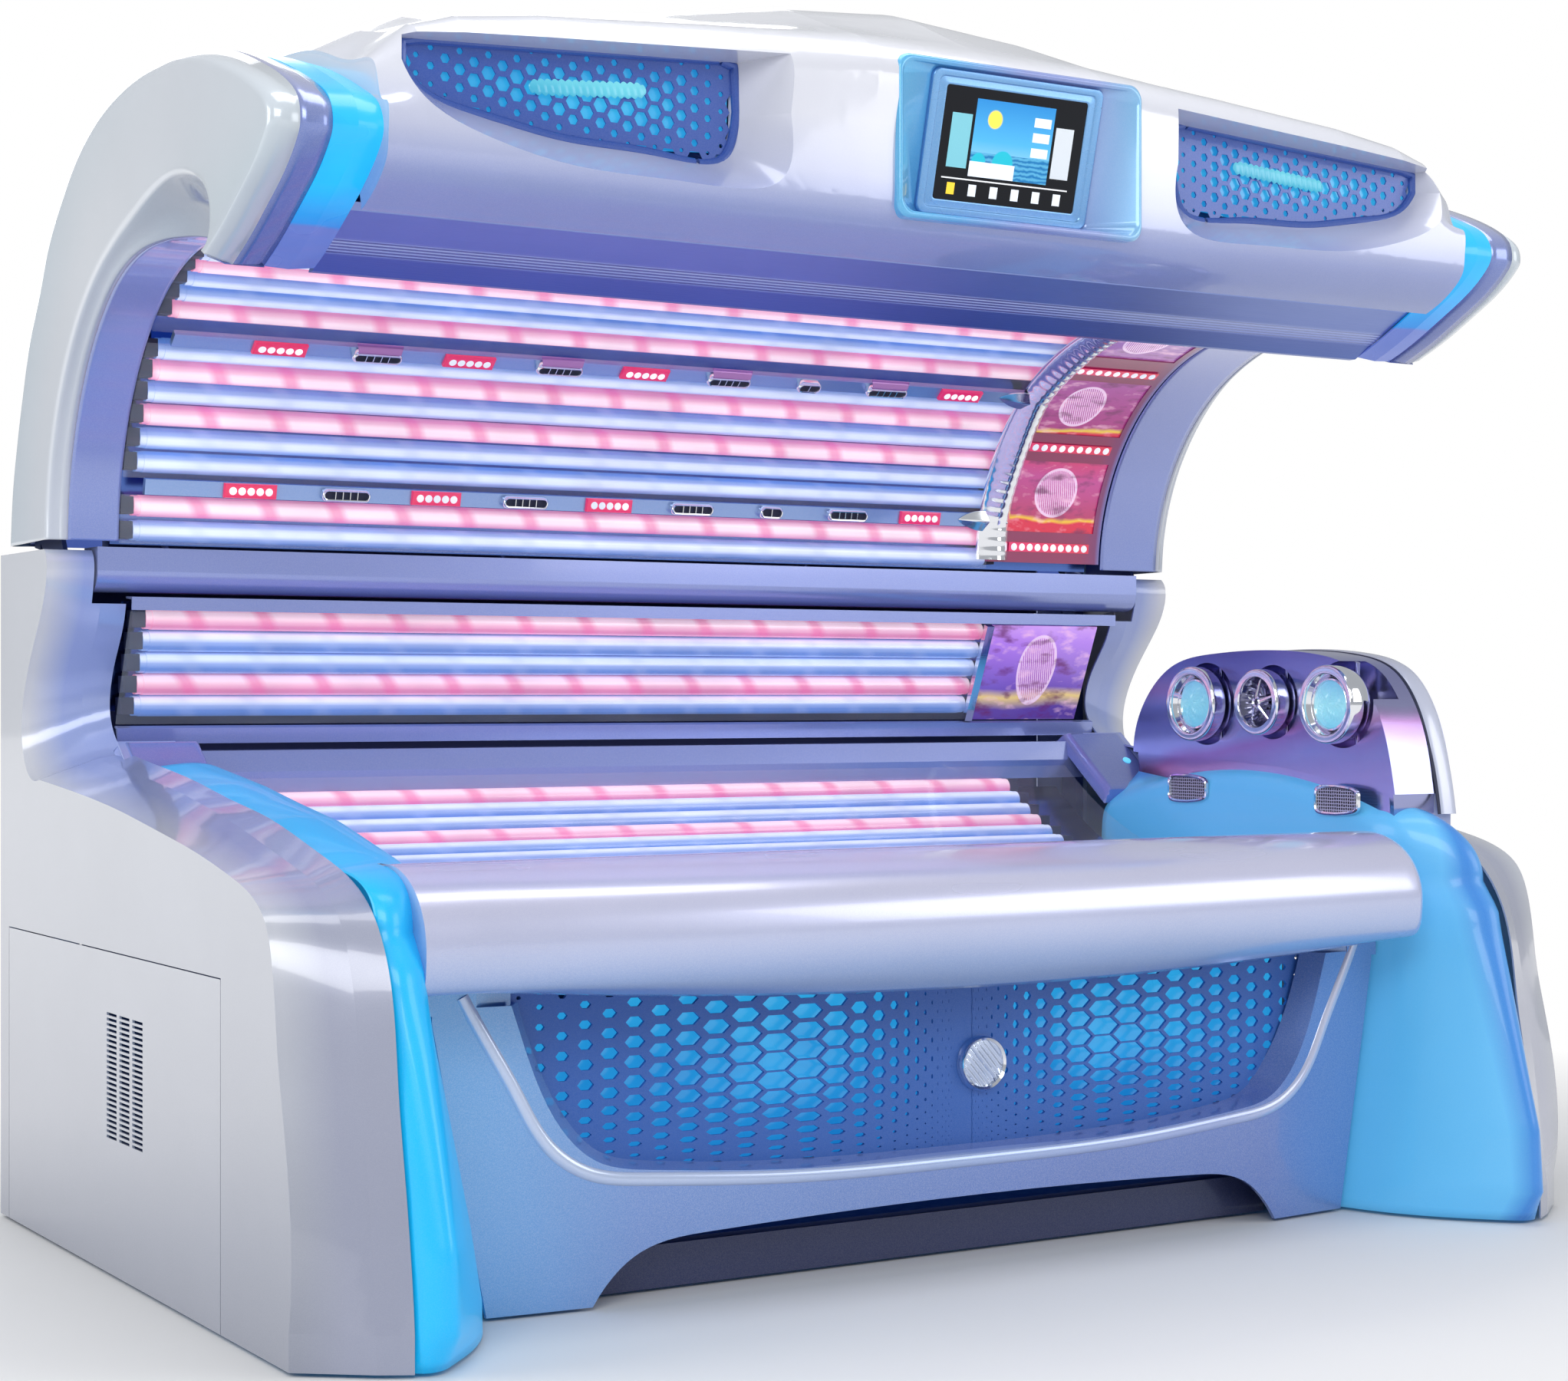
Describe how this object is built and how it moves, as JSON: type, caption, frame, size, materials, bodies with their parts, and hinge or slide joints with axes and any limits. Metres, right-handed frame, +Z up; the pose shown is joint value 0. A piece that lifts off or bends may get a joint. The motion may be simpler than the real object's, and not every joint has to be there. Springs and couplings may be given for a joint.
{
  "type": "clamshell tanning bed",
  "caption": "Clamshell tanning bed with a raised curved canopy, lamp tubes behind clear acrylic, blue glow panels, a grille front and a head console.",
  "frame": {"origin": "on the floor under the middle of the bed", "axes": "+X towards the head end with the console, +Y from the open front to the rear, +Z up"},
  "size_m": [2.464, 1.5602, 2.1327],
  "materials": {
    "shell_white": "glossy light grey-white lacquer",
    "pearl_white": "pearl white lacquer",
    "lilac_silver": "metallic silver paint",
    "soft_silver": "metallic lilac-silver lacquer",
    "glow_cyan": "translucent cyan light strip",
    "glow_blue": "light blue satin lacquer lit from below",
    "fascia_blue": "metallic blue lacquer",
    "grille_blue": "deep blue pierced panel",
    "kick_navy": "dark navy paint",
    "clear_acrylic": "clear acrylic sheet",
    "diffuser": "translucent blue diffuser",
    "reflector": "polished aluminium",
    "lamp_white": "white coated glass tube",
    "lamp_tinted": "pink coated glass tube",
    "filter_glass": "violet filter glass",
    "black_glass": "black glass",
    "black_plastic": "black moulded plastic",
    "dark_steel": "dark powder coat",
    "zinc_steel": "zinc-plated steel",
    "chrome": "bright chrome",
    "aluminium": "ribbed satin aluminium",
    "led_bar": "magenta translucent bar with white lights",
    "button_cyan": "lit cyan button",
    "bezel_blue": "light blue metallic bezel",
    "rubber_black": "black rubber"
  },
  "bodies": {
    "base": {"ballasts": "dark_steel", "base_frame": "dark_steel", "base_lamp_sockets": "black_plastic", "base_lamps_tinted": "lamp_tinted", "base_lamps_white": "lamp_white", "base_reflectors": "reflector", "bench_acrylic": "clear_acrylic", "bench_front_rail": "soft_silver", "bench_rear_profile": "lilac_silver", "fan_housing": "black_plastic", "front_diffuser": "diffuser", "front_fascia": "fascia_blue", "front_grille": "grille_blue", "grille_lens": "black_glass", "head_console": "shell_white", "hinge_brackets": "zinc_steel", "hinge_pins": "zinc_steel", "kick_plate": "kick_navy", "left_end_panel": "shell_white", "levelling_feet": "rubber_black", "mid_acrylic": "clear_acrylic", "mid_face_divider": "chrome", "mid_face_glass": "filter_glass", "mid_rails": "lilac_silver", "power_inlet": "black_plastic", "rear_cover": "dark_steel", "right_end_panel": "shell_white", "service_doors": "shell_white", "side_glow_panels": "glow_blue", "speakers": "black_plastic"},
    "canopy": {"accessory_rails": "soft_silver", "air_nozzles": "chrome", "canopy_acrylic": "clear_acrylic", "canopy_frame": "dark_steel", "canopy_front_profile": "aluminium", "canopy_glow_strips": "glow_cyan", "canopy_grilles": "grille_blue", "canopy_lamp_sockets": "black_plastic", "canopy_lamps_tinted": "lamp_tinted", "canopy_lamps_white": "lamp_white", "canopy_lower_rail": "lilac_silver", "canopy_reflector": "reflector", "canopy_shell": "pearl_white", "display_bezel": "bezel_blue", "display_glass": "black_glass", "face_tanner_frame": "soft_silver", "face_tanner_glass": "filter_glass", "led_modules": "led_bar", "left_canopy_cap": "shell_white", "right_canopy_cap": "shell_white"},
    "left_spring_body": {"left_gas_cylinder": "dark_steel"},
    "right_spring_body": {"right_gas_cylinder": "dark_steel"},
    "left_spring_rod": {"left_gas_rod": "zinc_steel"},
    "right_spring_rod": {"right_gas_rod": "zinc_steel"},
    "impeller": {"fan_impeller": "black_plastic"},
    "left_pod": {"left_lamp_pod": "chrome"},
    "air_pod_body": {"air_pod": "chrome"},
    "right_pod": {"right_lamp_pod": "chrome"},
    "button": {"start_button": "button_cyan"}
  },
  "joints": [
    {"name": "canopy_hinge", "type": "hinge", "parent": "base", "child": "canopy", "pos_m": [0, 0.505, 1.155], "axis": [1, 0, 0], "range_deg": [0, 35]},
    {"name": "left_spring_tilt", "type": "hinge", "parent": "base", "child": "left_spring_body", "pos_m": [-1.196, 0.665, 0.8], "axis": [1, 0, 0], "range_deg": [-1, 3]},
    {"name": "right_spring_tilt", "type": "hinge", "parent": "base", "child": "right_spring_body", "pos_m": [1.196, 0.665, 0.8], "axis": [1, 0, 0], "range_deg": [-1, 3]},
    {"name": "left_spring_stroke", "type": "slide", "parent": "left_spring_body", "child": "left_spring_rod", "axis": [0, -0.1753, 0.9845], "range_m": [0, 0.06]},
    {"name": "right_spring_stroke", "type": "slide", "parent": "right_spring_body", "child": "right_spring_rod", "axis": [0, -0.1753, 0.9845], "range_m": [0, 0.06]},
    {"name": "fan_spin", "type": "hinge", "parent": "base", "child": "impeller", "pos_m": [0.82, 0.13, 0.13], "axis": [0, 0, 1], "continuous": true},
    {"name": "left_pod_swivel", "type": "hinge", "parent": "base", "child": "left_pod", "pos_m": [1.01, 0.03, 0.921], "axis": [0, 0, 1], "range_deg": [-10, 10]},
    {"name": "air_pod_swivel", "type": "hinge", "parent": "base", "child": "air_pod_body", "pos_m": [1.01, -0.165, 0.925], "axis": [0, 0, 1], "range_deg": [-10, 10]},
    {"name": "right_pod_swivel", "type": "hinge", "parent": "base", "child": "right_pod", "pos_m": [1.01, -0.36, 0.921], "axis": [0, 0, 1], "range_deg": [-10, 10]},
    {"name": "start_press", "type": "slide", "parent": "base", "child": "button", "axis": [0, 0.6207, -0.784], "range_m": [0, 0.003], "stiffness_N_per_m": 400}
  ],
  "couplings": [
    {"joint": "left_spring_tilt", "follows": "canopy_hinge", "ratio": 0.0509},
    {"joint": "left_spring_stroke", "follows": "canopy_hinge", "m_per_rad": 0.0918},
    {"joint": "right_spring_tilt", "follows": "canopy_hinge", "ratio": 0.0509},
    {"joint": "right_spring_stroke", "follows": "canopy_hinge", "m_per_rad": 0.0918}
  ]
}
